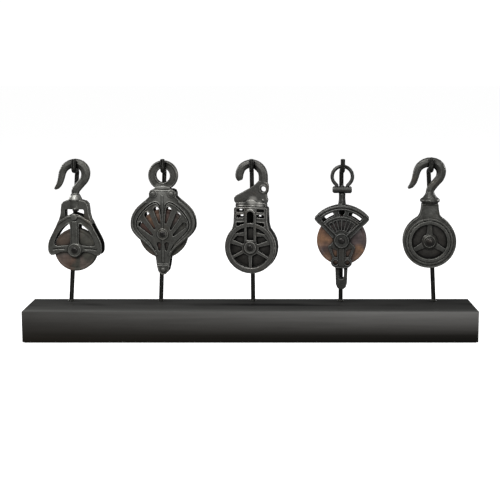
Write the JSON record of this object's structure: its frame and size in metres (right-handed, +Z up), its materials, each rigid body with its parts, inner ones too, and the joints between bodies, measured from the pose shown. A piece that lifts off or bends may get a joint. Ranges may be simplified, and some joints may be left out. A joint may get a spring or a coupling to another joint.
{
  "type": "pulley display stand",
  "caption": "Long low block plinth with bent rods standing along its back, each holding a hanging antique cast pulley with a hook or ring, a pierced casing and a turning grooved wheel.",
  "frame": {"origin": "centre of the underside of the felt, on the surface that the plinth stands on", "axes": "+Z up, +X along the plinth to the right as seen from the front, -Y towards the viewer; the posts stand at the back (+Y) and their tips point at the viewer"},
  "size_m": [1, 0.125, 0.4028],
  "materials": {
    "plinth": "satin black-brown paint",
    "felt": "black felt",
    "post_steel": "semi-gloss black",
    "cast_iron": "blackened, worn lighter on the edges",
    "fastener_steel": "blackened steel",
    "wheel_wood": "aged dark wood"
  },
  "bodies": {
    "base": {"base_plinth": "plinth", "base_felt": "felt", "post_p1": "post_steel", "post_p2": "post_steel", "post_p3": "post_steel", "post_p4": "post_steel", "post_p5": "post_steel", "post_nut_p1": "fastener_steel", "post_nut_p2": "fastener_steel", "post_nut_p3": "fastener_steel", "post_nut_p4": "fastener_steel", "post_nut_p5": "fastener_steel"},
    "p1_hook_body": {"p1_hook": "cast_iron", "p1_swivel_nut": "fastener_steel"},
    "p1_block": {"p1_front_frame": "cast_iron", "p1_rear_frame": "cast_iron", "p1_top_rivet": "fastener_steel", "p1_axle_pin": "fastener_steel"},
    "p1_wheel_body": {"p1_wheel": "wheel_wood", "p1_wheel_bush": "fastener_steel"},
    "p2_block": {"p2_eye_ring": "cast_iron", "p2_front_plate": "cast_iron", "p2_rear_plate": "cast_iron", "p2_tail_spacer": "cast_iron", "p2_left_rivet": "fastener_steel", "p2_right_rivet": "fastener_steel", "p2_tail_rivet": "fastener_steel", "p2_axle_pin": "fastener_steel"},
    "p2_wheel_body": {"p2_wheel": "wheel_wood", "p2_wheel_bush": "fastener_steel"},
    "p3_block": {"p3_hook_head": "cast_iron", "p3_front_shell": "cast_iron", "p3_rear_shell": "cast_iron", "p3_axle_pin": "fastener_steel"},
    "p3_wheel_body": {"p3_wheel": "cast_iron"},
    "p4_hanger": {"p4_ring": "fastener_steel", "p4_crosshead": "cast_iron"},
    "p4_block": {"p4_swivel_stem": "cast_iron", "p4_front_plate": "cast_iron", "p4_rear_plate": "cast_iron", "p4_becket": "cast_iron", "p4_axle_pin": "fastener_steel"},
    "p4_wheel_body": {"p4_wheel": "wheel_wood", "p4_wheel_bush": "fastener_steel"},
    "p5_hook_body": {"p5_hook": "cast_iron", "p5_swivel_nut": "fastener_steel"},
    "p5_block": {"p5_front_shell": "cast_iron", "p5_rear_shell": "cast_iron", "p5_axle_pin": "fastener_steel"},
    "p5_wheel_body": {"p5_wheel": "cast_iron"}
  },
  "joints": [
    {"name": "p1_swing", "type": "hinge", "parent": "base", "child": "p1_hook_body", "pos_m": [-0.391, 0.0145, 0.373], "axis": [0, 1, 0], "range_deg": [-7, 7]},
    {"name": "p1_swivel", "type": "hinge", "parent": "p1_hook_body", "child": "p1_block", "pos_m": [-0.391, 0.0145, 0.303], "axis": [0, 0, 1], "range_deg": [-7, 7]},
    {"name": "p1_wheel_turn", "type": "hinge", "parent": "p1_block", "child": "p1_wheel_body", "pos_m": [-0.391, 0.0145, 0.196], "axis": [0.0958, 0.9954, 0], "continuous": true},
    {"name": "p2_swing", "type": "hinge", "parent": "base", "child": "p2_block", "pos_m": [-0.1945, 0.0145, 0.373], "axis": [0, 1, 0], "range_deg": [-7, 7]},
    {"name": "p2_wheel_turn", "type": "hinge", "parent": "p2_block", "child": "p2_wheel_body", "pos_m": [-0.1945, 0.0145, 0.232], "axis": [0.0958, 0.9954, 0], "continuous": true},
    {"name": "p3_swing", "type": "hinge", "parent": "base", "child": "p3_block", "pos_m": [0.002, 0.0145, 0.373], "axis": [0, 1, 0], "range_deg": [-7, 7]},
    {"name": "p3_wheel_turn", "type": "hinge", "parent": "p3_block", "child": "p3_wheel_body", "pos_m": [0.002, 0.0145, 0.2015], "axis": [0.2079, 0.9781, 0], "continuous": true},
    {"name": "p4_swing", "type": "hinge", "parent": "base", "child": "p4_hanger", "pos_m": [0.204, 0.0145, 0.373], "axis": [0, 1, 0], "range_deg": [-7, 7]},
    {"name": "p4_swivel", "type": "hinge", "parent": "p4_hanger", "child": "p4_block", "pos_m": [0.204, 0.0145, 0.303], "axis": [0, 0, 1], "range_deg": [-7, 7]},
    {"name": "p4_wheel_turn", "type": "hinge", "parent": "p4_block", "child": "p4_wheel_body", "pos_m": [0.204, 0.0145, 0.217], "axis": [0.0958, 0.9954, 0], "continuous": true},
    {"name": "p5_swing", "type": "hinge", "parent": "base", "child": "p5_hook_body", "pos_m": [0.4, 0.0145, 0.374], "axis": [0, 1, 0], "range_deg": [-7, 7]},
    {"name": "p5_swivel", "type": "hinge", "parent": "p5_hook_body", "child": "p5_block", "pos_m": [0.4, 0.0145, 0.304], "axis": [0, 0, 1], "range_deg": [-7, 7]},
    {"name": "p5_wheel_turn", "type": "hinge", "parent": "p5_block", "child": "p5_wheel_body", "pos_m": [0.4, 0.0145, 0.2145], "axis": [0.0958, 0.9954, 0], "continuous": true}
  ]
}
